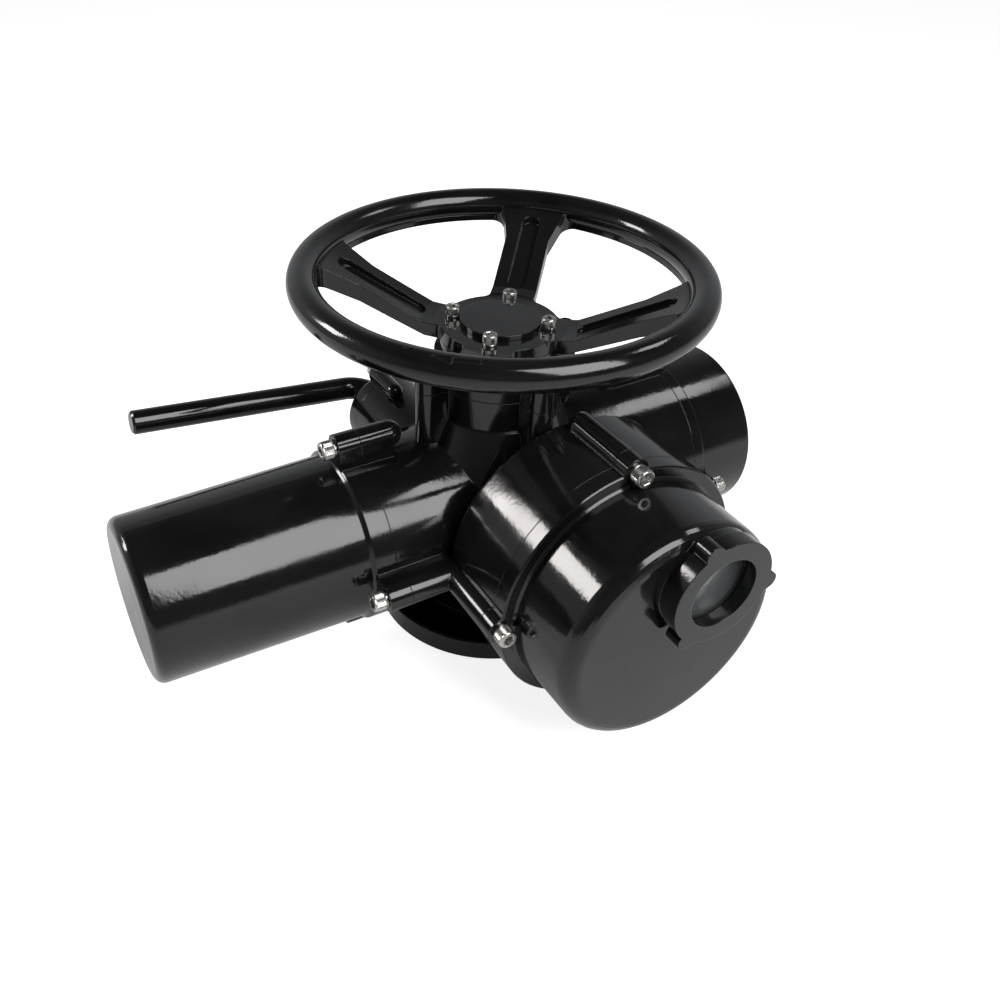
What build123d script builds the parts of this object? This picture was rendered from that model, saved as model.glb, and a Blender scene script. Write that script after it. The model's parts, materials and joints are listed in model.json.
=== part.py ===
from build123d import *
import math
import os

os.makedirs("parts", exist_ok=True)

# Frame: origin at the centre of the mounting face, +Z up along the output axis,
# +X towards the terminal compartment, -Y towards the switch compartment. Millimetres.

# Overall layout
axis_z = 98.3
wall = 8.0
run_gap = 0.05
seat_gap = 0.3

# Mounting flange, ISO 5210 size F14
flange_r = 87.5
flange_t = 18.0
bolt_circle = 140.0
bolt_hole_r = 7.0
bolt_hole_depth = 15.5
register_r = 50.0
register_depth = 4.0
step_r = 62.0
step_z = 22.0
column_r = 58.0

# Motor side, along -X
motor_tube_r = 62.5
motor_joint_x = -110.7
motor_flange_t = 16.0
motor_cup_r0 = motor_tube_r - 2.8
motor_cup_r1 = motor_cup_r0 - 2.2
motor_end_x = -275.8
motor_end_round = 7.0
motor_bolt_r = motor_tube_r + 12.7
motor_bore_r = motor_cup_r0 - 5.5
motor_chamber_r = motor_tube_r - 8.5

# Terminal side, along +X
term_tube_r = 70.1
term_joint_x = 140.1
term_flange_t = 9.5
term_cup_r = 67.4
term_end_x = 199.0
term_bolt_r = 79.0

# Switch compartment, along -Y
switch_x = 19.2
switch_r = 93.5
switch_back_y = -66.0
switch_joint_y = -124.3
switch_flange_t = 12.1
switch_cup_r = 84.2
switch_front_y = -194.8
switch_round = 11.0
switch_bolt_r = 94.0
switch_bolt_angles = (90, 180, 0, 290)

# Changeover compartment, along +Y
rear_x = -38.0
rear_z = 120.0
rear_r = 32.0
rear_bore_r = 25.0
rear_joint_y = 95.0
rear_end_y = 109.5
rear_bolt_r = 37.0
rear_bolt_angles = (102, 222, 342)

# Neck, up the output axis
neck_r = 45.0
neck_foot_z = 177.0
neck_joint_z = 200.0
neck_top_z = 218.0
lobe_reach = 55.5
lobe_r = 9.0
neck_bore_r = 37.0

# Screws with socket heads and split washers
boss_r = 9.5
m8_r = 4.0
m8_head_r = 6.5
m8_head_h = 8.0
m6_r = 3.0
m6_head_r = 5.0
m6_head_h = 6.0
washer_t = 2.0

# Handwheel
wheel_r = 142.5
rim_r = 10.2
rim_z = 272.8
hub_top_z = 238.0
hub_t = 10.0
hub_r = 41.0
spoke_half = 16.0
spoke_turn = 47.0
wheel_screw_r = 33.4

# Output train
shaft_r = 17.0
shaft_low_r = 28.0
bush_r = 24.0
bore_r = 15.0
bush_len = 58.0
worm_y = -36.0
wheel_pitch_r = 27.2
worm_r = 8.5
gear_module = 1.5
pinion_teeth = 26
gear_teeth = 22

# Changeover lever
lever_x = -44.0
lever_z = 131.0
lever_y = 130.0
lever_rod_r = 9.0
lever_bend_r = 20.0
lever_shaft_end = -42.0
lever_tilt = 5.9
lever_reach = 190.0
clutch_drop = 12.3
jaw_half_angle = 17.0
wheel_jaws = (0, 90, 180, 270)
clutch_jaws = (45, 135, 225, 315)


def along_x(x0, x1, r, y=0.0, z=axis_z):
    return Pos((x0 + x1) / 2, y, z) * Rot(0, 90, 0) * Cylinder(r, abs(x1 - x0))


def along_y(y0, y1, r, x=0.0, z=axis_z):
    return Pos(x, (y0 + y1) / 2, z) * Rot(90, 0, 0) * Cylinder(r, abs(y1 - y0))


def along_z(z0, z1, r, x=0.0, y=0.0):
    return Pos(x, y, (z0 + z1) / 2) * Cylinder(r, abs(z1 - z0))


def block(x0, x1, y0, y1, z0, z1):
    centre = Pos((x0 + x1) / 2, (y0 + y1) / 2, (z0 + z1) / 2)
    return centre * Box(abs(x1 - x0), abs(y1 - y0), abs(z1 - z0))


def turned(points):
    """Solid turned about Z from (radius, height) points."""
    outline = Polyline([(r, 0, h) for r, h in points], close=True)
    return revolve(make_face(outline), Axis.Z)


def lay_to_minus_x(shape, y=0.0, z=axis_z):
    """Height becomes distance towards -X."""
    return Pos(0, y, z) * Rot(0, -90, 0) * shape


def lay_to_plus_x(shape, y=0.0, z=axis_z):
    return Pos(0, y, z) * Rot(0, 90, 0) * shape


def lay_to_minus_y(shape, x=0.0, z=axis_z):
    return Pos(x, 0, z) * Rot(90, 0, 0) * shape


def lay_to_plus_y(shape, x=0.0, z=axis_z):
    return Pos(x, 0, z) * Rot(-90, 0, 0) * shape


def around_x(angle, radius):
    """(y, z) of a point at this angle, 0 at the front and 90 on top."""
    turn = math.radians(angle)
    return -radius * math.cos(turn), axis_z + radius * math.sin(turn)


def around_y(angle, radius, x, z):
    turn = math.radians(angle)
    return x + radius * math.cos(turn), z + radius * math.sin(turn)


def save(shape, name):
    export_step(shape, f"parts/{name}.step")


# Screws and washers: head face looks along +Z, seat at z = 0, shank below
def socket_screw(r, head_r, head_h, length):
    head = Cylinder(head_r, head_h, align=(Align.CENTER, Align.CENTER, Align.MIN))
    socket = Pos(0, 0, head_h * 0.45) * extrude(RegularPolygon(head_r * 0.52, 6), head_h)
    shank = Cylinder(r, length, align=(Align.CENTER, Align.CENTER, Align.MAX))
    return Pos(0, 0, washer_t) * (head + shank - socket)


def split_washer(r, head_r):
    ring = turned([(r + 0.2, 0), (head_r - 0.3, 0), (head_r - 0.3, washer_t), (r + 0.2, washer_t)])
    return ring - Pos(head_r * 0.8, 0, washer_t / 2) * Box(head_r, 1.4, washer_t * 2)


def screw_set(places, r, head_r, head_h, length):
    screws = [place * socket_screw(r, head_r, head_h, length) for place in places]
    washers = [place * split_washer(r, head_r) for place in places]
    return Compound(screws), Compound(washers)


def holes(places, r, depth, start=1.0):
    """Screw holes below each seat."""
    hole = Pos(0, 0, start) * Cylinder(r, depth + start, align=(Align.CENTER, Align.CENTER, Align.MAX))
    return [place * hole for place in places]


# Places of every screw, each with +Z pointing out of the seat
motor_seat_x = motor_joint_x - motor_flange_t
motor_places = [
    Pos(motor_seat_x, *around_x(angle, motor_bolt_r)) * Rot(0, -90, 0)
    for angle in (0, 90, 180, 270)
]
term_seat_x = term_joint_x + term_flange_t
term_places = [
    Pos(term_seat_x, *around_x(angle, term_bolt_r)) * Rot(0, 90, 0)
    for angle in (0, 90, 180, 270)
]
switch_seat_y = switch_joint_y - switch_flange_t
switch_places = []
for angle in switch_bolt_angles:
    px, pz = around_y(angle, switch_bolt_r, switch_x, axis_z)
    switch_places.append(Pos(px, switch_seat_y, pz) * Rot(90, 0, 0))
rear_places = []
for angle in rear_bolt_angles:
    px, pz = around_y(angle, rear_bolt_r, rear_x, rear_z)
    rear_places.append(Pos(px, rear_end_y - 5, pz) * Rot(-90, 0, 0))
neck_places = [
    Rot(0, 0, angle) * Pos(lobe_reach, 0, neck_top_z)
    for angle in (0, 90, 180, 270)
]
wheel_places = [
    Rot(0, 0, spoke_turn + angle) * Pos(wheel_screw_r, 0, hub_top_z)
    for angle in (0, 90, 180, 270)
]


# Bosses that take the screws, joined to their tube by a web
def boss_x(x0, x1, angle, radius, inner, r=boss_r, round_end=None):
    y, z = around_x(angle, radius)
    boss = along_x(x0, x1, r, y, z)
    web = block(x0, x1, -r, r, inner, radius)
    boss += Pos(0, 0, axis_z) * Rot(90 - angle, 0, 0) * web
    if round_end is not None:
        boss += Pos(round_end, y, z) * Sphere(r)
    return boss


def boss_y(y0, y1, angle, radius, inner, x, z, r=boss_r, round_end=None):
    px, pz = around_y(angle, radius, x, z)
    boss = along_y(y0, y1, r, px, pz)
    web = block(inner, radius, y0, y1, -r, r)
    boss += Pos(x, 0, z) * Rot(0, -angle, 0) * web
    if round_end is not None:
        boss += Pos(px, round_end, pz) * Sphere(r)
    return boss


def neck_lobes(z0, z1):
    lobes = []
    for angle in (0, 90, 180, 270):
        lobe = along_z(z0, z1, lobe_r, lobe_reach) + block(0, lobe_reach, -lobe_r, lobe_r, z0, z1)
        lobes.append(Rot(0, 0, angle) * lobe)
    return lobes


# Gearbox housing casting
front_y = -motor_bolt_r
left_x = switch_x - switch_bolt_r
body = along_x(motor_joint_x, 10, motor_tube_r)
body += along_x(0, term_joint_x, term_tube_r)
drum = along_y(switch_joint_y, switch_back_y, switch_r, switch_x)
drum = fillet(drum.edges().filter_by(GeomType.CIRCLE).sort_by(Axis.Y)[-1:], 4)
body += drum
body += along_y(switch_back_y - 2, 0, motor_tube_r - 1, switch_x)
body += along_y(0, rear_joint_y, rear_r, rear_x, rear_z)
body += Pos(0, 0, 158.5) * Cone(62, neck_r + 1.5, 37)
body += along_z(neck_foot_z - 10, neck_joint_z, neck_r)
body += turned([
    (0, 0), (flange_r - 1, 0), (flange_r, 1), (flange_r, flange_t - 1.5), (flange_r - 1.5, flange_t),
    (step_r, flange_t), (step_r, step_z - 1), (step_r - 1, step_z), (column_r, step_z),
    (column_r - 4, 62), (0, 62),
])
body += boss_x(motor_joint_x, -87, 90, motor_bolt_r, 50, round_end=-87)
body += boss_x(motor_joint_x, left_x, 0, motor_bolt_r, 50, round_end=left_x)
body += boss_x(motor_joint_x, -87, 180, motor_bolt_r, 50, round_end=-87)
body += boss_x(motor_joint_x, -87, 270, motor_bolt_r, 50, round_end=-87)
for angle in (0, 90, 180, 270):
    body += boss_x(term_joint_x - 38, term_joint_x, angle, term_bolt_r, 60, r=8.5, round_end=term_joint_x - 38)
for angle in switch_bolt_angles:
    body += boss_y(switch_joint_y, front_y - 2, angle, switch_bolt_r, 75, switch_x, axis_z, round_end=front_y - 2)
for angle in rear_bolt_angles:
    body += boss_y(rear_joint_y - 22, rear_joint_y, angle, rear_bolt_r, 25, rear_x, rear_z, r=6.5,
                   round_end=rear_joint_y - 22)
for lobe in neck_lobes(150, neck_joint_z):
    body += lobe

# Chambers of the housing
motor_web_x = -74.0
term_web_x = 64.0
web_t = 12.0
lower_bearing_z = 29.0
lower_bearing_r = 42.0
worm_bearing_r = 14.0
upper_bearing_z = 182.0
body -= along_x(motor_joint_x - 1, motor_web_x, motor_chamber_r)
body -= along_x(motor_web_x + web_t, term_web_x - web_t, motor_chamber_r)
body -= along_x(term_web_x, term_joint_x + 1, 61)
body -= along_y(switch_joint_y - 1, -74, 84, switch_x)
body -= along_y(56, rear_joint_y + 1, rear_bore_r, rear_x, rear_z)
body -= along_y(lever_shaft_end - seat_gap, 60, lever_rod_r + run_gap, lever_x, lever_z)
body -= along_y(-36, 36, 14, lever_x, lever_z)
body -= along_z(140, neck_joint_z + 1, neck_bore_r)
body -= along_z(-1, register_depth, register_r)
body -= along_z(0, 60, 38)
body -= along_z(lower_bearing_z, 60, lower_bearing_r)
body -= along_x(motor_web_x - 1, motor_web_x + web_t + 1, worm_bearing_r, worm_y)
body -= along_x(term_web_x - web_t - 1, term_web_x + 1, worm_bearing_r, worm_y)
for angle in (45, 135, 225, 315):
    body -= Rot(0, 0, angle) * along_z(-1, bolt_hole_depth, bolt_hole_r, bolt_circle / 2)
for hole in holes(motor_places, m8_r, 40) + holes(term_places, m8_r, 34) + holes(switch_places, m8_r, 36):
    body -= hole
for hole in holes(rear_places, m6_r, 26) + holes(neck_places, m6_r, 42):
    body -= hole
save(body, "housing")


# Motor cover: a deep cup with a bolted flange
def cup_profile(flange_radius, flange_len, r0, r1, depth, end_round, bore0, bore1, end_wall):
    """(radius, height) outline from the joint face at height 0 to the closed end at depth."""
    steps = 6
    outline = [(flange_radius, 0), (flange_radius, flange_len - 1), (flange_radius - 1, flange_len),
               (r0 + 1.5, flange_len), (r0, flange_len + 1.5)]
    for step in range(steps + 1):
        turn = math.radians(90 * step / steps)
        outline.append((r1 - end_round + end_round * math.cos(turn), depth - end_round + end_round * math.sin(turn)))
    outline.append((0, depth))
    outline.append((0, depth - end_wall))
    outline.append((bore1, depth - end_wall))
    outline.append((bore0, 0))
    return outline


motor_depth = motor_joint_x - motor_end_x
stator_r = motor_bore_r - 3.2
motor_cover = lay_to_minus_x(Pos(0, 0, -motor_joint_x) * turned(cup_profile(
    motor_tube_r, motor_flange_t, motor_cup_r0, motor_cup_r1, motor_depth, motor_end_round,
    motor_bore_r, stator_r, wall)))
for angle in (0, 90, 180, 270):
    motor_cover += boss_x(motor_joint_x, motor_seat_x, angle, motor_bolt_r, 57)
motor_cover += along_x(motor_end_x + 4, motor_end_x + 26, 24)
motor_cover -= along_x(motor_end_x + 12, motor_end_x + 27, 17)
for hole in holes(motor_places, m8_r + seat_gap, motor_flange_t + 1):
    motor_cover -= hole
save(motor_cover, "motor_cover")
screws, washers = screw_set(motor_places, m8_r - run_gap, m8_head_r, m8_head_h, 38)
save(screws, "motor_cover_screws")
save(washers, "motor_cover_washers")

# Motor inside its cover
shield_x = motor_joint_x - 14
shield = along_x(shield_x, motor_joint_x - 1, motor_chamber_r - 0.4)
shield -= along_x(shield_x - 1, motor_joint_x, 17)
save(shield, "motor_end_shield")
stator_low = motor_end_x + 47.8
stator_high = motor_joint_x - 39.3
winding_len = 16
stator = along_x(stator_low, stator_high, stator_r) - along_x(stator_low - 1, stator_high + 1, 31)
save(stator, "motor_stator")
coils = Part()
for low in (stator_low - winding_len, stator_high):
    coils += along_x(low, low + winding_len, stator_r - 5) - along_x(low - 1, low + winding_len + 1, 34)
save(coils, "motor_windings")
rotor_low = stator_low + 2
rotor_high = stator_high - 2
rotor = along_x(rotor_low, rotor_high, 30.4) - along_x(rotor_low - 1, rotor_high + 1, 9)
for side in (rotor_low - 8, rotor_high):
    rotor += along_x(side, side + 8, 28) - along_x(side - 1, side + 9, 20)
save(rotor, "rotor_core")
tail_bearing_x = motor_end_x + 13.8
motor_shaft = along_x(tail_bearing_x, -86, 9)
motor_shaft += along_x(rotor_low - 14, rotor_low, 12) + along_x(rotor_high, rotor_high + 26, 12)
save(motor_shaft, "motor_shaft")
motor_bearings = along_x(tail_bearing_x, tail_bearing_x + 12, 17)
motor_bearings -= along_x(tail_bearing_x - 1, tail_bearing_x + 13, 9)
motor_bearings += along_x(shield_x + 1, shield_x + 13, 17) - along_x(shield_x, shield_x + 14, 9)
save(motor_bearings, "motor_bearings")


# Spur gear pair between motor shaft and worm shaft
def spur_gear(teeth, width, bore, phase):
    pitch_r = gear_module * teeth / 2
    root_r = pitch_r - 1.25
    tip_r = pitch_r + 0.9
    gear = Cylinder(root_r, width)
    foot = 0.27 * math.tau / teeth
    tip = 0.12 * math.tau / teeth
    tooth = Polyline([
        ((root_r - 0.5) * math.cos(foot), (root_r - 0.5) * math.sin(foot)),
        (tip_r * math.cos(tip), tip_r * math.sin(tip)),
        (tip_r * math.cos(tip), -tip_r * math.sin(tip)),
        ((root_r - 0.5) * math.cos(foot), -(root_r - 0.5) * math.sin(foot)),
    ], close=True)
    tooth = Pos(0, 0, -width / 2) * extrude(make_face(tooth), width)
    ring = [Rot(0, 0, phase + 360 / teeth * n) * tooth for n in range(teeth)]
    gear = gear + ring
    return gear - Cylinder(bore, width + 2)


# Rot(0, 90, 0) lays the gear's own X axis along -Z, so 90 degrees of phase faces the worm shaft at -Y
gear_x = -93.0
pinion = Pos(gear_x, 0, axis_z) * Rot(0, 90, 0) * spur_gear(pinion_teeth, 10, 9, 90)
save(pinion, "motor_pinion")
gear = Pos(gear_x, worm_y, axis_z) * Rot(0, 90, 0) * spur_gear(gear_teeth, 9, 6, 90 + 180 / gear_teeth)
save(gear, "worm_shaft_gear")

# Worm shaft with its thread drawn as ridges
worm_shaft = along_x(-100, 66, 6, worm_y)
worm_shaft += along_x(-60, -28, 7.2, worm_y) + along_x(28, 50, 7.2, worm_y)
save(worm_shaft, "worm_shaft")
ridge = []
worm_len = 44.0
ridge_pitch = 4.4
ridge_count = int(worm_len / ridge_pitch)
points = [(6, -worm_len / 2)]
for n in range(ridge_count):
    low = -worm_len / 2 + n * ridge_pitch
    points += [(worm_r - 2, low), (worm_r - 2, low + 1.2), (worm_r, low + 2.0), (worm_r, low + 3.2), (worm_r - 2, low + 4.0)]
points += [(worm_r - 2, worm_len / 2), (6, worm_len / 2)]
worm = lay_to_plus_x(turned(points), worm_y)
save(worm, "worm")
worm_bearings = []
for low in (motor_web_x, term_web_x - web_t):
    worm_bearings.append(along_x(low + 0.5, low + web_t - 0.5, worm_bearing_r, worm_y)
                         - along_x(low - 1, low + web_t + 1, 6, worm_y))
save(Compound(worm_bearings), "worm_shaft_bearings")

# Worm wheel, free on the output shaft, with dog lugs on top
wheel_low_z = axis_z - 7.7
wheel_high_z = axis_z + 7.7
lug_h = 6.4


def lugs(z0, z1, r0, r1, centres, half_angle):
    """Ring sectors standing between two radii."""
    pieces = []
    for centre in centres:
        sector = along_z(z0, z1, r1) - along_z(z0 - 1, z1 + 1, r0)
        far = r1 * 3
        turn = math.radians(half_angle)
        wedge = Polyline([(0, 0), (far * math.cos(turn), far * math.sin(turn)),
                          (far * math.cos(turn), -far * math.sin(turn))], close=True)
        wedge = Pos(0, 0, z0 - 1) * extrude(make_face(wedge), z1 - z0 + 2)
        pieces.append(Rot(0, 0, centre) * (sector & wedge))
    return pieces


worm_wheel = along_z(wheel_low_z, wheel_high_z, wheel_pitch_r)
worm_wheel = worm_wheel - along_z(wheel_low_z - 1, wheel_high_z + 1, shaft_r + run_gap)
for n in range(40):
    worm_wheel -= Rot(0, 0, 9 * n + 4.5) * block(wheel_pitch_r - 2.2, wheel_pitch_r + 1, -1.0, 1.0, wheel_low_z - 1, wheel_high_z + 1)
for lug in lugs(wheel_high_z - 0.5, wheel_high_z + lug_h, 18.5, 25, wheel_jaws, jaw_half_angle):
    worm_wheel += lug
save(worm_wheel, "worm_wheel")

# Output shaft: wide foot for the drive bush, slim neck for wheel and clutch
shaft_top_z = 176.0
output_shaft = turned([
    (12, 66), (12, shaft_top_z), (shaft_r - 1, shaft_top_z), (shaft_r, shaft_top_z - 1), (shaft_r, 90.3),
    (shaft_low_r, 90.3 - 0.2), (shaft_low_r, 50), (32, 50), (32, 44), (shaft_low_r, 44), (shaft_low_r, 5),
    (shaft_low_r - 1, register_depth), (bush_r, register_depth), (bush_r, 66),
])
save(output_shaft, "output_shaft")

# Drive bush with keyed bore for the valve stem
key_w = 8.0
bush = along_z(5, 5 + bush_len, bush_r) - along_z(4, 6 + bush_len, bore_r)
bush -= block(0, bore_r + 3.3, -key_w / 2, key_w / 2, 4, 6 + bush_len)
save(bush, "drive_bush")
lower_bearing = along_z(lower_bearing_z + 0.5, 43.5, lower_bearing_r) - along_z(20, 50, shaft_low_r)
save(lower_bearing, "lower_bearing")
lower_seal = along_z(8, 18, 38) - along_z(7, 19, shaft_low_r + 0.05)
save(lower_seal, "lower_shaft_seal")

# Clutch ring, sliding on the output shaft, groove for the fork
clutch_low_z = 125.0
clutch_top_z = 137.0
clutch = turned([
    (shaft_r + run_gap, clutch_low_z), (26, clutch_low_z), (26, lever_z - 2.6), (22, lever_z - 2.6),
    (22, lever_z + 2.6), (26, lever_z + 2.6), (26, clutch_top_z), (shaft_r + run_gap, clutch_top_z),
])
for lug in lugs(clutch_low_z - 6, clutch_low_z + 0.5, 18.5, 25, clutch_jaws, jaw_half_angle):
    clutch += lug
for lug in lugs(clutch_top_z - 0.5, clutch_top_z + 6, 18.5, 25, clutch_jaws, jaw_half_angle):
    clutch += lug
save(clutch, "clutch_ring")

# Hand drive sleeve between clutch and handwheel
sleeve_r = 29.0
sleeve_low_z = 144.0
sleeve_flange_z = hub_top_z - hub_t
hand_sleeve = turned([
    (21, sleeve_low_z), (sleeve_r, sleeve_low_z), (sleeve_r, 219.5), (hub_r - 1, 219.5), (hub_r, 220.5),
    (hub_r, sleeve_flange_z), (13, sleeve_flange_z), (13, 180), (21, 180),
])
for lug in lugs(sleeve_low_z - 5.6, sleeve_low_z + 0.5, 21.5, 28, wheel_jaws, jaw_half_angle):
    hand_sleeve += lug
for hole in holes(wheel_places, m6_r, 17.5):
    hand_sleeve -= hole
save(hand_sleeve, "hand_drive_sleeve")
sleeve_bush = along_z(150, 176, 21) - along_z(149, 177, shaft_r + run_gap)
save(sleeve_bush, "sleeve_bush")
upper_bearing = along_z(upper_bearing_z, upper_bearing_z + 14, neck_bore_r) - along_z(180, 198, sleeve_r)
save(upper_bearing, "upper_bearing")

# Neck cover with its shaft seal
neck_cover = along_z(neck_joint_z, neck_top_z, neck_r)
for lobe in neck_lobes(neck_joint_z, neck_top_z):
    neck_cover += lobe
neck_cover -= along_z(neck_joint_z - 1, neck_top_z + 1, sleeve_r + 0.4)
neck_cover -= along_z(206, neck_top_z + 1, 36)
for hole in holes(neck_places, m6_r + seat_gap, neck_top_z - neck_joint_z + 1):
    neck_cover -= hole
save(neck_cover, "neck_cover")
neck_seal = along_z(206.2, 216, 36) - along_z(206, 217, sleeve_r + 0.05)
save(neck_seal, "neck_seal")
screws, washers = screw_set(neck_places, m6_r - run_gap, m6_head_r, m6_head_h, 36)
save(screws, "neck_cover_screws")
save(washers, "neck_cover_washers")

# Handwheel: dished web cut into four spokes, inside a round rim
rim_centre_r = wheel_r - rim_r
rim = Pos(0, 0, rim_z) * Torus(rim_centre_r, rim_r)
web = turned([
    (0, hub_top_z - hub_t), (hub_r, hub_top_z - hub_t), (52, hub_top_z - hub_t + 1), (rim_centre_r, rim_z - 9),
    (rim_centre_r, rim_z + 3), (rim_centre_r - 12, rim_z - 0.5), (54, hub_top_z + 1), (46, hub_top_z), (0, hub_top_z),
])
window_outer_r = rim_centre_r - 7
flare_start = rim_centre_r - 37.3
spokes = Circle(hub_r)
for angle in (0, 90, 180, 270):
    arm = Polyline([(0, -spoke_half), (flare_start, -spoke_half), (rim_centre_r + 20, -spoke_half - 16),
                    (rim_centre_r + 20, spoke_half + 16), (flare_start, spoke_half), (0, spoke_half)], close=True)
    spokes += Rot(0, 0, spoke_turn + angle) * make_face(arm)
windows = Circle(window_outer_r) - spokes
corners = windows.vertices()
windows = fillet([v for v in corners if math.hypot(v.X, v.Y) < hub_r + 15], 7)
corners = windows.vertices()
windows = fillet([v for v in corners if math.hypot(v.X, v.Y) > window_outer_r - 10], 9)
spider = web - Pos(0, 0, 200) * extrude(windows, 100)
spider -= Pos(0, 0, rim_z) * Torus(rim_centre_r, rim_r)
spider -= turned([(rim_centre_r - rim_r * 0.3, 220), (wheel_r + 20, 220), (wheel_r + 20, 300), (rim_centre_r - rim_r * 0.3, 300)])
slot_plan = SlotOverall(window_outer_r - hub_r - 22.3, 13)
slot_mid = (window_outer_r + hub_r) / 2 + 0.85
slot_layer = turned([(40, hub_top_z - 3), (54, hub_top_z - 2), (rim_centre_r, rim_z), (rim_centre_r, rim_z + 20), (40, rim_z + 20)])
for angle in (0, 90, 180, 270):
    slot = Rot(0, 0, spoke_turn + angle) * Pos(slot_mid, 0, 200) * extrude(slot_plan, 100)
    spider -= slot & slot_layer
spider -= along_z(200, 260, 12)
for hole in holes(wheel_places, m6_r + seat_gap, hub_t + 1):
    spider -= hole
save(rim, "handwheel_rim")
save(spider, "handwheel_spider")
cap_h = 3.5
hub_cap = along_z(hub_top_z, hub_top_z + cap_h, 27.7) + along_z(hub_top_z - 6, hub_top_z, 11.95)
save(hub_cap, "hub_cap")
screws, washers = screw_set(wheel_places, m6_r - run_gap, m6_head_r, m6_head_h, 18.5)
save(screws, "handwheel_screws")
save(washers, "handwheel_washers")

# Terminal cover with two cable entries underneath
term_depth = term_end_x - term_joint_x
term_cover = lay_to_plus_x(Pos(0, 0, term_joint_x) * turned(cup_profile(
    term_tube_r, term_flange_t, term_cup_r, term_cup_r, term_depth, 3.0, 60.0, 59.0, wall)))
for angle in (0, 90, 180, 270):
    term_cover += boss_x(term_joint_x, term_seat_x, angle, term_bolt_r, 62, r=8.5)
entry_r = 12.0
entry_x = 174.0
entry_low = 20.0
for y in (-22, 22):
    term_cover += along_z(entry_low, axis_z - 55, entry_r + 5, entry_x, y)
for y in (-22, 22):
    term_cover -= along_z(entry_low - 1, axis_z - 40, entry_r, entry_x, y)
term_cover -= along_x(term_joint_x - 1, term_end_x - wall, 59)
for hole in holes(term_places, m8_r + seat_gap, term_flange_t + 1):
    term_cover -= hole
save(term_cover, "terminal_cover")
screws, washers = screw_set(term_places, m8_r - run_gap, m8_head_r, m8_head_h, 30)
save(screws, "terminal_cover_screws")
save(washers, "terminal_cover_washers")
terminal_block = block(112, 130, -32, 32, 78, 118)
for n in range(6):
    y = -27.5 + 11 * n
    terminal_block -= along_x(126, 131, 3.2, y, 108)
    terminal_block -= block(125, 131, y - 3, y + 3, 77, 88)
save(terminal_block, "terminal_block")
terminal_plate = along_x(107, 112, 58) - along_z(20, 60, 14, 109.5)
terminal_plate += along_x(term_web_x, 107, 6, 0, 135) + along_x(term_web_x, 107, 6, 30, 68) + along_x(term_web_x, 107, 6, -30, 68)
save(terminal_plate, "terminal_plate")

# Switch cover with a seat for the sight glass
sight_x = switch_x + 16.0
sight_z = axis_z + 45.8
sight_seat_r = 36.0
sight_open_r = 26.0
sight_base_t = 4.5
switch_depth = switch_joint_y - switch_front_y
switch_cover = lay_to_minus_y(Pos(0, 0, -switch_joint_y) * turned(cup_profile(
    switch_r, switch_flange_t, switch_cup_r, switch_cup_r - 0.6, switch_depth, switch_round, 77.5, 75.0, wall)), switch_x)
for angle in switch_bolt_angles:
    switch_cover += boss_y(switch_seat_y, switch_joint_y, angle, switch_bolt_r, 80, switch_x, axis_z)
switch_cover += along_y(switch_front_y - sight_base_t, switch_front_y + 2, sight_seat_r, sight_x, sight_z)
switch_cover -= along_y(switch_front_y - 10, switch_front_y + wall + 1, sight_open_r, sight_x, sight_z)
switch_cover -= along_y(switch_front_y - 10, switch_front_y + 2, sight_open_r + 4, sight_x, sight_z)
for hole in holes(switch_places, m8_r + seat_gap, switch_flange_t + 1):
    switch_cover -= hole
save(switch_cover, "switch_cover")
screws, washers = screw_set(switch_places, m8_r - run_gap, m8_head_r, m8_head_h, 32)
save(screws, "switch_cover_screws")
save(washers, "switch_cover_washers")

# Sight glass and its clamping ring with three grip ears
ring_out_r = 37.5
ring_front = switch_front_y - 16.5
ear_angles = (112, 232, 352)
ring_back = switch_front_y - sight_base_t
glass_t = 5.0
glass = along_y(switch_front_y + 2 - glass_t, switch_front_y + 2, sight_open_r + 3.9, sight_x, sight_z)
save(glass, "sight_glass")
ring = along_y(ring_front, ring_back, ring_out_r, sight_x, sight_z)
for angle in ear_angles:
    px, pz = around_y(angle, ring_out_r, sight_x, sight_z)
    ring += along_y(ring_front, ring_back, 6.5, px, pz)
ring -= along_y(ring_front - 1, ring_back + 1, sight_open_r - 1, sight_x, sight_z)
ring -= along_y(ring_front + 4, ring_back + 1, sight_open_r + 2, sight_x, sight_z)
save(ring, "sight_ring")
sight_seal = along_y(ring_back, switch_front_y - 3, sight_open_r + 3.9, sight_x, sight_z)
sight_seal -= along_y(ring_back - 1, switch_front_y, sight_open_r + 0.5, sight_x, sight_z)
save(sight_seal, "sight_seal")

# Position indicator behind the glass
dial_y = switch_front_y + wall + 3.0
dial = along_y(dial_y, dial_y + 2, 24, sight_x, sight_z)
dial += along_y(dial_y - 0.8, dial_y + 1, 5, sight_x, sight_z)
dial += block(sight_x - 1.5, sight_x + 1.5, dial_y - 0.8, dial_y + 1, sight_z, sight_z + 20)
save(dial, "indicator_dial")
spindle = along_y(dial_y + 2, -92, 4, sight_x, sight_z)
save(spindle, "indicator_spindle")

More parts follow.
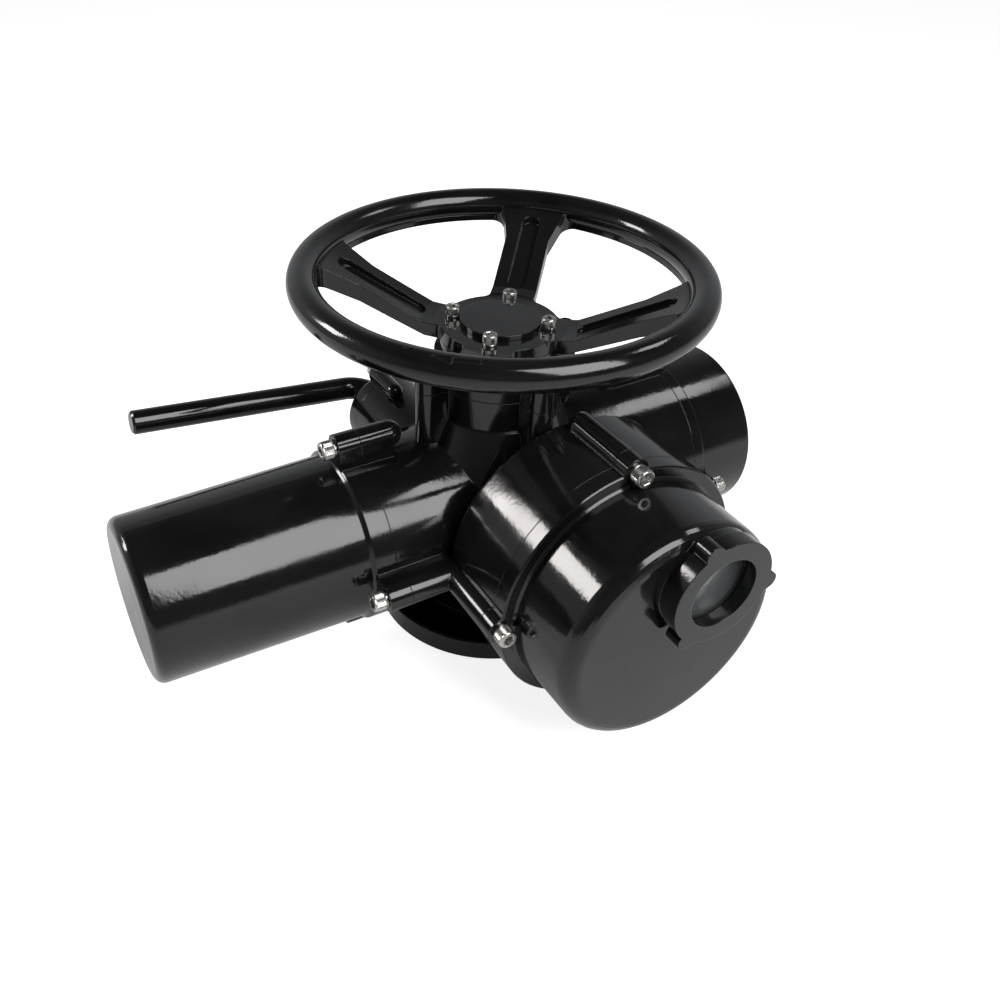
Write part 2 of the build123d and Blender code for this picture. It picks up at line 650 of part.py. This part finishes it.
# Switch chassis with limit and torque switches
chassis = along_y(-100, -96, 80, switch_x)
chassis -= along_y(-101, -95, 5.0, sight_x, sight_z)
for angle in (30, 150, 270):
    px, pz = around_y(angle, 68, switch_x, axis_z)
    chassis += along_y(-96, -74, 6, px, pz)
save(chassis, "switch_chassis")
counter_box = block(sight_x - 22, sight_x + 18, -150, -100, sight_z - 22, sight_z + 15)
counter_box -= along_y(-151, -99, 5, sight_x, sight_z)
save(counter_box, "position_gear_unit")
switches = []
for n in range(4):
    x = -32 + 17 * n
    body_block = block(x, x + 14, -128, -100, 54, 84)
    plunger = along_y(-134, -128, 2.5, x + 7, 69)
    switches.append(body_block + plunger)
save(Compound(switches), "limit_switches")
torque_unit = block(-36, 10, -138, -100, 100, 140)
torque_unit -= along_y(-139, -128, 9, -13, 120)
save(torque_unit, "torque_switch_unit")

# Changeover cover and lever
rear_cover = along_y(rear_joint_y, rear_end_y, rear_r, rear_x, rear_z)
rear_cover = fillet(rear_cover.edges().filter_by(GeomType.CIRCLE).sort_by(Axis.Y)[-1:], 5)
for angle in rear_bolt_angles:
    rear_cover += boss_y(rear_joint_y, rear_end_y - 5, angle, rear_bolt_r, 25, rear_x, rear_z, r=6.5)
rear_cover -= along_y(rear_joint_y - 1, rear_joint_y + 8, rear_bore_r, rear_x, rear_z)
rear_cover -= along_y(rear_joint_y - 1, rear_end_y + 1, lever_rod_r + run_gap, lever_x, lever_z)
for hole in holes(rear_places, m6_r + seat_gap, 12):
    rear_cover -= hole
save(rear_cover, "changeover_cover")
screws, washers = screw_set(rear_places, m6_r - run_gap, m6_head_r, m6_head_h, 24)
save(screws, "changeover_cover_screws")
save(washers, "changeover_cover_washers")

# One bent rod: straight arm along -X, bend, then the shaft along -Y
shaft_len = lever_y - lever_shaft_end
path = Line((0, -shaft_len, 0), (0, -lever_bend_r, 0))
path += RadiusArc((0, -lever_bend_r, 0), (-lever_bend_r, 0, 0), -lever_bend_r)
path += Line((-lever_bend_r, 0, 0), (-lever_reach, 0, 0))
rod = sweep(Plane(origin=(0, -shaft_len, 0), z_dir=(0, 1, 0)) * Circle(lever_rod_r), path=path)
tip = rod.edges().filter_by(GeomType.CIRCLE).sort_by(Axis.X)[0:1]
rod = chamfer(tip, 1.6)
rod = Pos(lever_x, lever_y, lever_z) * Rot(0, lever_tilt, 0) * rod
save(rod, "changeover_lever")

# Fork on the lever shaft, reaching around the clutch ring
fork_y = 27.5
fork_t = 7.0
fork = along_y(-fork_y - fork_t, fork_y + fork_t, 13, lever_x, lever_z)
fork -= along_y(-18, 18, 14, lever_x, lever_z)
for side in (-1, 1):
    y0 = side * fork_y
    y1 = side * (fork_y + fork_t)
    fork += block(lever_x, 0, y0, y1, lever_z - 5, lever_z + 5)
    fork += along_y(y0, y1, 5, 0, lever_z)
    fork += along_y(side * 22.6, y0, 2.0, 0, lever_z)
fork -= along_y(-60, 60, lever_rod_r, lever_x, lever_z)
save(fork, "shift_fork")
lever_seal = along_y(rear_joint_y - 2, rear_joint_y + 8, 12.3, lever_x, lever_z)
lever_seal -= along_y(rear_joint_y - 3, rear_joint_y + 9, lever_rod_r + run_gap, lever_x, lever_z)
save(lever_seal, "lever_seal")
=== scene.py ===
import json
import math

import bmesh
import bpy
from mathutils import Matrix, Vector

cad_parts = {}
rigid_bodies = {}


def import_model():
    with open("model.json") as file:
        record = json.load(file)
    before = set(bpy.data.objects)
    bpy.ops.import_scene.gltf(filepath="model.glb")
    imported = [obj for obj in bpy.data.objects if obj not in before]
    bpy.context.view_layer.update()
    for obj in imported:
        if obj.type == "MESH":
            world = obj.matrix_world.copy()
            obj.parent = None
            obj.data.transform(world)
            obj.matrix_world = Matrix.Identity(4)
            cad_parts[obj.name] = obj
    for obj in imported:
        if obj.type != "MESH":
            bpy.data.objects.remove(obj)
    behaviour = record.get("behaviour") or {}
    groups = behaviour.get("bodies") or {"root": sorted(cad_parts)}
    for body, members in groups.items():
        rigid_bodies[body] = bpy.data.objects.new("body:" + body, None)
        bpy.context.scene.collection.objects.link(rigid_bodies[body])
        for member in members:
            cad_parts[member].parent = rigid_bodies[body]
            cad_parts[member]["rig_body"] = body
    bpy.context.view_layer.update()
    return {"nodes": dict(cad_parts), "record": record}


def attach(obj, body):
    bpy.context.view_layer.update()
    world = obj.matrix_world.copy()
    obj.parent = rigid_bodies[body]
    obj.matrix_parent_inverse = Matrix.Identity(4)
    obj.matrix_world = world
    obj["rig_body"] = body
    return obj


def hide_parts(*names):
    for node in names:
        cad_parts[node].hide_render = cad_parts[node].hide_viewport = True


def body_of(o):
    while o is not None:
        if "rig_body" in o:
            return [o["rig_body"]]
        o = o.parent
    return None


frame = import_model()

# Camera, solved from the photograph
IMAGE_SIDE = 1000
CAMERA_PLACE = (-0.33109, -0.51396, 0.55126)
CAMERA_AZIMUTH = -29.84
CAMERA_ELEVATION = 36.28
CAMERA_ROLL = 1.32
FOCAL_PIXELS = 991.16
CENTRE_PIXEL = (450.42, 479.95)
SENSOR_MM = 36.0

# Shared places of the object, in metres
RIM_Z = 0.2728
RIM_CENTRE_R = 0.1323
RIM_R = 0.0102

# Soft lights: name, azimuth, elevation, distance, width, height, radiance, tint
LIGHT_AIM = (0, 0, 0.12)
SOFTBOXES = (
    ("front_softbox", 14, 46, 1.6, 0.9, 1.2, 7.5, (1, 1, 1)),
    ("rear_softbox", -126, 28, 1.6, 0.42, 0.42, 18.0, (1.0, 0.96, 0.94)),
    ("side_softbox", 80, 50, 1.7, 0.4, 0.3, 6.0, (1, 1, 1)),
)

# Room and floor
ROOM_LOW = (0.35, (0.40, 0.41, 0.42))
ROOM_HIGH = (0.75, (0.05, 0.05, 0.055))
ROOM_FRONT = (-0.4, 0.25)
ROOM_BACK = (0.5, 1.0)
FLOOR_HALF = 4.0
FLOOR_DROP = 0.0005
FLOOR_PAINT = (0.68, 0.68, 0.68)
FLOOR_SEEN_GLOW = 0.86
FLOOR_MIRRORED_GLOW = 0.22

# Screws and washers of each cover: outward direction, thread radius, head height
SCREWED_COVERS = (
    ("motor_cover", (-1, 0, 0), 0.004, 0.008),
    ("terminal_cover", (1, 0, 0), 0.004, 0.008),
    ("switch_cover", (0, -1, 0), 0.004, 0.008),
    ("changeover_cover", (0, 1, 0), 0.003, 0.006),
    ("handwheel", (0, 0, 1), 0.003, 0.006),
)
KNURL_POINTS = 84
THREAD_POINTS = 32
WASHER_STEPS = 60
WASHER_GAP_DEGREES = 14
WASHER_PLAY = 0.0002


# Camera, floor and light
def make_camera():
    azimuth, elevation, roll = (math.radians(v) for v in (CAMERA_AZIMUTH, CAMERA_ELEVATION, CAMERA_ROLL))
    right = Vector((math.cos(azimuth), math.sin(azimuth), 0))
    back = Vector((
        math.sin(azimuth) * math.cos(elevation),
        -math.cos(azimuth) * math.cos(elevation),
        math.sin(elevation),
    ))
    up = back.cross(right)
    right_rolled = right * math.cos(roll) + up * math.sin(roll)
    up_rolled = up * math.cos(roll) - right * math.sin(roll)
    turn = Matrix((right_rolled, up_rolled, back)).transposed().to_4x4()
    data = bpy.data.cameras.new("camera")
    data.sensor_width = SENSOR_MM
    data.lens = FOCAL_PIXELS / IMAGE_SIDE * SENSOR_MM
    data.shift_x = (IMAGE_SIDE / 2 - CENTRE_PIXEL[0]) / IMAGE_SIDE
    data.shift_y = (CENTRE_PIXEL[1] - IMAGE_SIDE / 2) / IMAGE_SIDE
    data.clip_start = 0.01
    camera = bpy.data.objects.new("camera", data)
    camera.matrix_world = Matrix.Translation(CAMERA_PLACE) @ turn
    bpy.context.scene.collection.objects.link(camera)
    bpy.context.scene.camera = camera


def direction(azimuth, elevation):
    """Unit vector: azimuth from -Y towards +X, elevation from the horizon."""
    a, e = math.radians(azimuth), math.radians(elevation)
    return Vector((math.sin(a) * math.cos(e), -math.cos(a) * math.cos(e), math.sin(e)))


def softbox(name, azimuth, elevation, distance, width, height, radiance, tint):
    data = bpy.data.lights.new(name, "AREA")
    data.shape = "RECTANGLE"
    data.size = width
    data.size_y = height
    data.energy = math.pi * width * height * radiance
    data.color = tint
    lamp = bpy.data.objects.new(name, data)
    way = direction(azimuth, elevation)
    lamp.location = Vector(LIGHT_AIM) + way * distance
    lamp.rotation_euler = way.to_track_quat("Z", "Y").to_euler()
    lamp.visible_camera = False
    bpy.context.scene.collection.objects.link(lamp)


def make_lights():
    for settings in SOFTBOXES:
        softbox(*settings)


def make_world():
    world = bpy.data.worlds.new("studio")
    world.use_nodes = True
    tree = world.node_tree
    tree.nodes.clear()
    out = tree.nodes.new("ShaderNodeOutputWorld")
    room = tree.nodes.new("ShaderNodeBackground")
    white = tree.nodes.new("ShaderNodeBackground")
    white.inputs["Color"].default_value = (1, 1, 1, 1)
    coords = tree.nodes.new("ShaderNodeTexCoord")
    height = tree.nodes.new("ShaderNodeSeparateXYZ")
    ramp = tree.nodes.new("ShaderNodeValToRGB")
    for element, (position, colour) in zip(ramp.color_ramp.elements, (ROOM_LOW, ROOM_HIGH)):
        element.position = position
        element.color = (*colour, 1)
    tree.links.new(coords.outputs["Generated"], height.inputs[0])
    tree.links.new(height.outputs["Z"], ramp.inputs["Fac"])
    tree.links.new(ramp.outputs["Color"], room.inputs["Color"])
    towards_back = tree.nodes.new("ShaderNodeMapRange")
    towards_back.inputs["From Min"].default_value = ROOM_FRONT[0]
    towards_back.inputs["From Max"].default_value = ROOM_BACK[0]
    towards_back.inputs["To Min"].default_value = ROOM_FRONT[1]
    towards_back.inputs["To Max"].default_value = ROOM_BACK[1]
    tree.links.new(height.outputs["Y"], towards_back.inputs["Value"])
    tree.links.new(towards_back.outputs["Result"], room.inputs["Strength"])
    path = tree.nodes.new("ShaderNodeLightPath")
    seen = tree.nodes.new("ShaderNodeMath")
    seen.operation = "MAXIMUM"
    tree.links.new(path.outputs["Is Camera Ray"], seen.inputs[0])
    tree.links.new(path.outputs["Is Transmission Ray"], seen.inputs[1])
    mix = tree.nodes.new("ShaderNodeMixShader")
    tree.links.new(seen.outputs[0], mix.inputs["Fac"])
    tree.links.new(room.outputs[0], mix.inputs[1])
    tree.links.new(white.outputs[0], mix.inputs[2])
    tree.links.new(mix.outputs[0], out.inputs["Surface"])
    bpy.context.scene.world = world


def make_floor():
    mesh = bpy.data.meshes.new("floor")
    side = FLOOR_HALF
    corners = [(-side, -side, 0), (side, -side, 0), (side, side, 0), (-side, side, 0)]
    mesh.from_pydata(corners, [], [(0, 1, 2, 3)])
    floor = bpy.data.objects.new("floor", mesh)
    floor.location.z = -FLOOR_DROP
    bpy.context.scene.collection.objects.link(floor)
    material = bpy.data.materials.new("pale_floor")
    material.use_nodes = True
    tree = material.node_tree
    shader = tree.nodes["Principled BSDF"]
    shader.inputs["Base Color"].default_value = (*FLOOR_PAINT, 1)
    shader.inputs["Roughness"].default_value = 0.9
    shader.inputs["Specular IOR Level"].default_value = 0.1
    glow = tree.nodes.new("ShaderNodeEmission")
    path = tree.nodes.new("ShaderNodeLightPath")
    strength = tree.nodes.new("ShaderNodeMath")
    strength.operation = "MULTIPLY_ADD"
    strength.inputs[1].default_value = FLOOR_SEEN_GLOW
    mirrored = tree.nodes.new("ShaderNodeMath")
    mirrored.operation = "MULTIPLY"
    mirrored.inputs[1].default_value = FLOOR_MIRRORED_GLOW
    tree.links.new(path.outputs["Is Camera Ray"], strength.inputs[0])
    tree.links.new(path.outputs["Is Glossy Ray"], mirrored.inputs[0])
    tree.links.new(mirrored.outputs[0], strength.inputs[2])
    tree.links.new(strength.outputs[0], glow.inputs["Strength"])
    add = tree.nodes.new("ShaderNodeAddShader")
    tree.links.new(shader.outputs[0], add.inputs[0])
    tree.links.new(glow.outputs[0], add.inputs[1])
    tree.links.new(add.outputs[0], tree.nodes["Material Output"].inputs["Surface"])
    mesh.materials.append(material)


# Materials
def new_material(name, base, metallic=0.0, roughness=0.4):
    material = bpy.data.materials.new(name)
    material.use_nodes = True
    shader = material.node_tree.nodes["Principled BSDF"]
    shader.inputs["Base Color"].default_value = (*base, 1)
    shader.inputs["Metallic"].default_value = metallic
    shader.inputs["Roughness"].default_value = roughness
    return material, material.node_tree, shader


def noise(tree, scale, detail=2.0, roughness=0.5):
    coords = tree.nodes.new("ShaderNodeTexCoord")
    node = tree.nodes.new("ShaderNodeTexNoise")
    node.inputs["Scale"].default_value = scale
    node.inputs["Detail"].default_value = detail
    node.inputs["Roughness"].default_value = roughness
    tree.links.new(coords.outputs["Object"], node.inputs["Vector"])
    return node.outputs["Fac"]


def spread(tree, value, low, high):
    """Maps the middle of a noise onto low..high."""
    node = tree.nodes.new("ShaderNodeMapRange")
    node.inputs["From Min"].default_value = 0.3
    node.inputs["From Max"].default_value = 0.7
    node.inputs["To Min"].default_value = low
    node.inputs["To Max"].default_value = high
    tree.links.new(value, node.inputs["Value"])
    return node.outputs["Result"]


def blend_colour(tree, value, dark, light):
    ramp = tree.nodes.new("ShaderNodeValToRGB")
    ramp.color_ramp.elements[0].position = 0.3
    ramp.color_ramp.elements[0].color = (*dark, 1)
    ramp.color_ramp.elements[1].position = 0.7
    ramp.color_ramp.elements[1].color = (*light, 1)
    tree.links.new(value, ramp.inputs["Fac"])
    return ramp.outputs["Color"]


def bump(tree, shader, value, height, strength=1.0, before=None):
    node = tree.nodes.new("ShaderNodeBump")
    node.inputs["Strength"].default_value = strength
    node.inputs["Distance"].default_value = height
    tree.links.new(value, node.inputs["Height"])
    if before is not None:
        tree.links.new(before, node.inputs["Normal"])
    tree.links.new(node.outputs["Normal"], shader.inputs["Normal"])
    return node.outputs["Normal"]


def soft_edges(tree, radius):
    """Normal that rounds the sharp edges of a casting."""
    node = tree.nodes.new("ShaderNodeBevel")
    node.samples = 6
    node.inputs["Radius"].default_value = radius
    return node.outputs["Normal"]


def gloss_paint(name="gloss_black_paint", peel=0.00004):
    """Black enamel with orange peel, thinner and duller in patches."""
    material, tree, shader = new_material(name, (0.006, 0.006, 0.0065), roughness=0.1)
    shader.inputs["IOR"].default_value = 1.5
    patches = noise(tree, 18, 3)
    colour = blend_colour(tree, patches, (0.004, 0.004, 0.0045), (0.009, 0.009, 0.0095))
    tree.links.new(colour, shader.inputs["Base Color"])
    tree.links.new(spread(tree, noise(tree, 30, 4), 0.07, 0.16), shader.inputs["Roughness"])
    broad = bump(tree, shader, noise(tree, 55, 1), peel * 6, 0.5, before=soft_edges(tree, 0.0009))
    bump(tree, shader, noise(tree, 420, 2), peel, 1.0, before=broad)
    return material


def steel(name, base, low, high, scale=300):
    material, tree, shader = new_material(name, base, metallic=1.0, roughness=0.3)
    dark = tuple(0.75 * v for v in base)
    tree.links.new(blend_colour(tree, noise(tree, scale, 3), dark, base), shader.inputs["Base Color"])
    tree.links.new(spread(tree, noise(tree, scale * 2, 3), low, high), shader.inputs["Roughness"])
    bump(tree, shader, noise(tree, 1500, 2), 0.00002, 0.6)
    return material


def plain(name, base, low, high, scale=200, height=0.00003):
    material, tree, shader = new_material(name, base)
    dark = tuple(0.85 * v for v in base)
    tree.links.new(blend_colour(tree, noise(tree, scale, 3), dark, base), shader.inputs["Base Color"])
    tree.links.new(spread(tree, noise(tree, scale * 1.7, 2), low, high), shader.inputs["Roughness"])
    bump(tree, shader, noise(tree, 1200, 2), height, 0.5)
    return material


def clear_glass():
    material, tree, shader = new_material("sight_glass", (0.9, 0.93, 0.94), roughness=0.06)
    shader.inputs["Transmission Weight"].default_value = 0.8
    shader.inputs["IOR"].default_value = 1.5
    shader.inputs["Coat Weight"].default_value = 1.0
    shader.inputs["Coat Roughness"].default_value = 0.03
    frost = noise(tree, 90, 4)
    colour = blend_colour(tree, frost, (0.34, 0.37, 0.38), (0.42, 0.45, 0.46))
    tree.links.new(colour, shader.inputs["Base Color"])
    tree.links.new(spread(tree, frost, 0.32, 0.42), shader.inputs["Roughness"])
    return material


def dress_nodes():
    paint = gloss_paint()
    finishes = {
        "casting_paint": paint,
        "wheel_paint": paint,
        "lever_paint": paint,
        "screw_steel": steel("zinc_plated_steel", (0.62, 0.61, 0.58), 0.22, 0.42),
        "machined_steel": steel("machined_steel", (0.55, 0.56, 0.57), 0.2, 0.35),
        "gear_bronze": steel("gear_bronze", (0.66, 0.46, 0.22), 0.25, 0.4),
        "copper_wire": plain("copper_winding", (0.42, 0.14, 0.05), 0.3, 0.5),
        "iron_core": plain("electrical_steel", (0.12, 0.12, 0.13), 0.4, 0.6),
        "seal_rubber": plain("seal_rubber", (0.02, 0.02, 0.02), 0.6, 0.8),
        "sight_glass": clear_glass(),
        "dial_face": plain("dial_face", (0.45, 0.47, 0.48), 0.45, 0.6),
        "block_plastic": plain("pale_plastic", (0.62, 0.60, 0.53), 0.4, 0.55),
        "switch_plastic": plain("black_plastic", (0.03, 0.03, 0.03), 0.35, 0.5),
        "plate_metal": steel("sheet_aluminium", (0.72, 0.73, 0.74), 0.3, 0.45),
    }
    for part in frame["record"]["subparts"]:
        node = frame["nodes"][part["node"]]
        node.data.materials.clear()
        node.data.materials.append(finishes[part["material_slot"]])
    for name in ("hand_drive_sleeve", "neck_cover_screws", "neck_cover_washers"):
        node = frame["nodes"][name]
        node.data.materials.clear()
        node.data.materials.append(paint)
    return finishes


# Pieces that stand for the plain screws and washers
def loose_boxes(name):
    """Lowest and highest corners of each loose part of a CAD node."""
    mesh = bmesh.new()
    mesh.from_mesh(frame["nodes"][name].data)
    bmesh.ops.remove_doubles(mesh, verts=mesh.verts, dist=1e-6)
    seen = set()
    boxes = []
    for first in mesh.verts:
        if first in seen:
            continue
        seen.add(first)
        waiting = [first]
        part = [first.co.copy()]
        while waiting:
            for edge in waiting.pop().link_edges:
                for vertex in edge.verts:
                    if vertex not in seen:
                        seen.add(vertex)
                        waiting.append(vertex)
                        part.append(vertex.co.copy())
        low = Vector([min(point[i] for point in part) for i in range(3)])
        high = Vector([max(point[i] for point in part) for i in range(3)])
        boxes.append((low, high))
    mesh.free()
    return boxes


def add_rings(mesh, rings):
    """Skins equal closed rings of points, one after the other, and caps both ends."""
    rows = [[mesh.verts.new(point) for point in ring] for ring in rings]
    for lower, upper in zip(rows, rows[1:]):
        count = len(lower)
        for i in range(count):
            j = (i + 1) % count
            mesh.faces.new((lower[i], lower[j], upper[j], upper[i]))
    mesh.faces.new(list(reversed(rows[0])))
    mesh.faces.new(rows[-1])


def circle(radius, z, count, wave=0.0):
    """Ring of points; with a wave, every second point lies deeper."""
    points = []
    for i in range(count):
        angle = 2 * math.pi * i / count
        r = radius - wave * (i % 2)
        points.append((r * math.cos(angle), r * math.sin(angle), z))
    return points


def hexagon(flat, z, count):
    points = []
    for i in range(count):
        angle = 2 * math.pi * i / count
        r = flat / math.cos((angle % (math.pi / 3)) - math.pi / 6)
        points.append((r * math.cos(angle), r * math.sin(angle), z))
    return points


def add_screw(mesh, place, thread_r, head_r, head_h, shank):
    """Socket head with knurled side, rounded rim and a tapered socket floor; head from z 0 up."""
    count = KNURL_POINTS
    key = thread_r * 0.78
    knurl = head_r * 0.035
    rings = [
        circle(head_r * 0.94, 0, count),
        circle(head_r, head_h * 0.05, count, knurl),
        circle(head_r, head_h * 0.78, count, knurl),
        circle(head_r * 0.965, head_h * 0.84, count),
        circle(head_r * 0.955, head_h * 0.93, count),
        circle(head_r * 0.90, head_h * 0.985, count),
        circle(head_r * 0.84, head_h, count),
        hexagon(key * 1.12, head_h, count),
        hexagon(key, head_h * 0.95, count),
        hexagon(key, head_h * 0.48, count),
        circle(key * 0.3, head_h * 0.38, count),
    ]
    before = set(mesh.verts)
    add_rings(mesh, rings)
    add_rings(mesh, [circle(thread_r, -shank, THREAD_POINTS), circle(thread_r, 0.0002, THREAD_POINTS)])
    bmesh.ops.transform(mesh, matrix=place, verts=[v for v in mesh.verts if v not in before])


def add_split_washer(mesh, place, inner_r, outer_r, height):
    """Spring washer cut at one place, its ends a little apart in height."""
    edge = height * 0.16
    shape = [
        (inner_r, edge), (inner_r + edge, 0), (outer_r - edge, 0), (outer_r, edge),
        (outer_r, height - edge), (outer_r - edge, height),
        (inner_r + edge, height), (inner_r, height - edge),
    ]
    rings = []
    for i in range(WASHER_STEPS + 1):
        share = i / WASHER_STEPS
        angle = math.radians(WASHER_GAP_DEGREES / 2 + (360 - WASHER_GAP_DEGREES) * share)
        rise = height * 0.06 * (2 * share - 1)
        rings.append([
            (r * math.cos(angle), r * math.sin(angle), min(max(z + rise, 0), height)) for r, z in shape
        ])
    before = set(mesh.verts)
    add_rings(mesh, rings)
    bmesh.ops.transform(mesh, matrix=place, verts=[v for v in mesh.verts if v not in before])


def finish_piece(name, mesh, material, body):
    bmesh.ops.recalc_face_normals(mesh, faces=mesh.faces)
    data = bpy.data.meshes.new(name)
    mesh.to_mesh(data)
    mesh.free()
    data.materials.append(material)
    piece = bpy.data.objects.new(name, data)
    bpy.context.scene.collection.objects.link(piece)
    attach(piece, body)
    return piece


def body_of_node(name):
    body = body_of(frame["nodes"][name])
    return body if isinstance(body, str) else body[0]


def axis_place(low, high, out, along):
    """Places local +Z on the screw's axis; along is the height of local zero, outward."""
    middle = (low + high) / 2
    centre = middle - out * middle.dot(out) + out * along
    return Matrix.Translation(centre) @ out.to_track_quat("Z", "Y").to_matrix().to_4x4()


def dress_screws(cover, out, thread_r, head_h, steel_finish):
    out = Vector(out)
    mesh = bmesh.new()
    for index, (low, high) in enumerate(loose_boxes(cover + "_screws")):
        size = high - low
        top = max(low.dot(out), high.dot(out))
        length = abs(size.dot(out))
        head_r = max(size[i] for i in range(3) if abs(out[i]) < 0.5) / 2
        turn = Matrix.Rotation(math.radians(23 * index + 11), 4, "Z")
        place = axis_place(low, high, out, top - head_h) @ turn
        add_screw(mesh, place, thread_r, head_r, head_h, length - head_h)
    piece = finish_piece(cover + "_socket_screws", mesh, steel_finish, body_of_node(cover + "_screws"))
    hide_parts(cover + "_screws")
    mesh = bmesh.new()
    for index, (low, high) in enumerate(loose_boxes(cover + "_washers")):
        size = high - low
        base = min(low.dot(out), high.dot(out))
        outer_r = max(size[i] for i in range(3) if abs(out[i]) < 0.5) / 2
        turn = Matrix.Rotation(math.radians(131 * index + 40), 4, "Z")
        place = axis_place(low, high, out, base) @ turn
        add_split_washer(mesh, place, thread_r + WASHER_PLAY, outer_r, abs(size.dot(out)))
    piece = finish_piece(cover + "_split_washers", mesh, steel_finish, body_of_node(cover + "_washers"))
    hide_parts(cover + "_washers")


# Raised marks cast on the handwheel's rim
def rim_point(ring, tube, lift):
    """Point on the rim: ring angle about the wheel, tube angle about the rim's section, in degrees."""
    a, t = math.radians(ring), math.radians(tube)
    r = RIM_CENTRE_R + (RIM_R + lift) * math.cos(t)
    return (r * math.cos(a), r * math.sin(a), RIM_Z + (RIM_R + lift) * math.sin(t))


def add_rim_strip(mesh, start, end, width, height=0.0004, sunk=-0.0004):
    """Rib on the rim between two (ring, tube) points."""
    ring_scale = RIM_CENTRE_R / RIM_R
    run = Vector(((end[0] - start[0]) * ring_scale, end[1] - start[1]))
    side = Vector((-run.y, run.x)).normalized() * math.degrees(width / 2 / RIM_R)
    steps = 8
    rings = []
    for i in range(steps + 1):
        share = i / steps
        ring = start[0] + (end[0] - start[0]) * share
        tube = start[1] + (end[1] - start[1]) * share
        rings.append([
            rim_point(ring + side.x * reach / ring_scale, tube + side.y * reach, lift)
            for reach, lift in ((-1, sunk), (-0.6, height), (0.6, height), (1, sunk))
        ])
    add_rings(mesh, rings)


def make_rim_marks(finish):
    mesh = bmesh.new()
    rib = 0.0009
    left, right, low, high = -133.4, -126.6, 61, 76
    for start, end in (
        ((left, low), (right, low)), ((right, low), (right, high)), ((right, high), (left, high)),
        ((-133.4, 50), (-138.6, 70)), ((-138.6, 70), (-133.4, 88)), ((-133.4, 50), (left, high)),
        ((-145.6, 72), (-143.6, 90)), ((-143.6, 90), (-142.8, 72)), ((-145.9, 72), (-145.9, 88)),
    ):
        add_rim_strip(mesh, start, end, rib)
    piece = finish_piece("rim_marks", mesh, finish, body_of_node("handwheel_rim"))


make_camera()
make_world()
make_floor()
make_lights()
finishes = dress_nodes()
for cover, out, thread_r, head_h in SCREWED_COVERS:
    dress_screws(cover, out, thread_r, head_h, finishes["screw_steel"])
make_rim_marks(finishes["wheel_paint"])
bpy.context.scene.view_settings.view_transform = "Standard"
